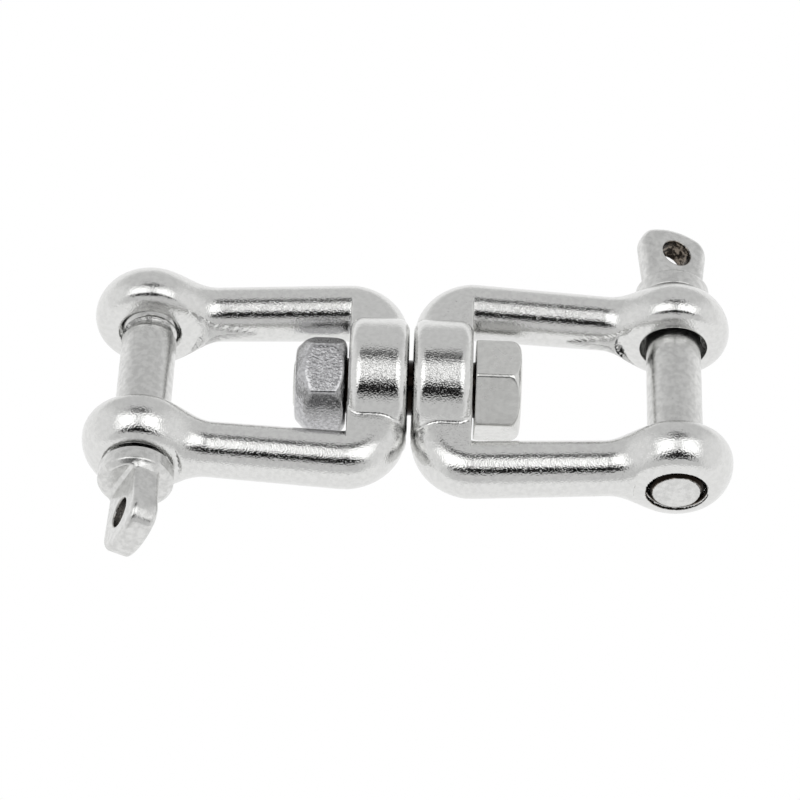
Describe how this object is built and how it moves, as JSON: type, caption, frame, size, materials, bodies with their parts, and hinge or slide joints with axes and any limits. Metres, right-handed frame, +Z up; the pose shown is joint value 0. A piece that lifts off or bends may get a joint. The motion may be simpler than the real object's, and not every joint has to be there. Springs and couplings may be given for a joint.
{
  "type": "anchor swivel",
  "caption": "Jaw-and-jaw anchor swivel for 8 mm chain: two cast jaws turning on a bolt and nut, each closed by a screw pin with an eyed tongue.",
  "frame": {"origin": "on the swivel bolt's axis, midway between the crowns of the two jaws", "axes": "+X along the swivel bolt towards the bolt's head and the right jaw's mouth, +Y along the right clevis pin towards its eyed head, +Z up, square to the right jaw"},
  "size_m": [0.093, 0.0616, 0.02],
  "materials": {
    "jaw_steel": "cast stainless steel, electropolished, bright, with a fine cast grain",
    "pin_steel": "turned and forged stainless steel, barrel-polished",
    "bolt_steel": "machined stainless hexagon bolt, satin",
    "nut_steel": "cast stainless nut, tumbled, finely pitted"
  },
  "bodies": {
    "right_jaw": {"right_jaw": "jaw_steel"},
    "left_jaw": {"left_jaw": "jaw_steel"},
    "swivel_bolt": {"swivel_bolt": "bolt_steel", "swivel_nut": "nut_steel"},
    "right_clevis_pin": {"right_clevis_pin": "pin_steel"},
    "left_clevis_pin": {"left_clevis_pin": "pin_steel"}
  },
  "joints": [
    {"name": "swivel_turn", "type": "hinge", "parent": "right_jaw", "child": "left_jaw", "pos_m": [0, 0, 0], "axis": [1, 0, 0], "continuous": true},
    {"name": "bolt_spin", "type": "hinge", "parent": "right_jaw", "child": "swivel_bolt", "pos_m": [0, 0, 0], "axis": [1, 0, 0], "continuous": true},
    {"name": "right_pin_draw", "type": "slide", "parent": "right_jaw", "child": "right_clevis_pin", "axis": [0, 1, 0], "range_m": [0, 0.06]},
    {"name": "left_pin_draw", "type": "slide", "parent": "left_jaw", "child": "left_clevis_pin", "axis": [0, -0.9968, 0.0802], "range_m": [0, 0.06]}
  ]
}
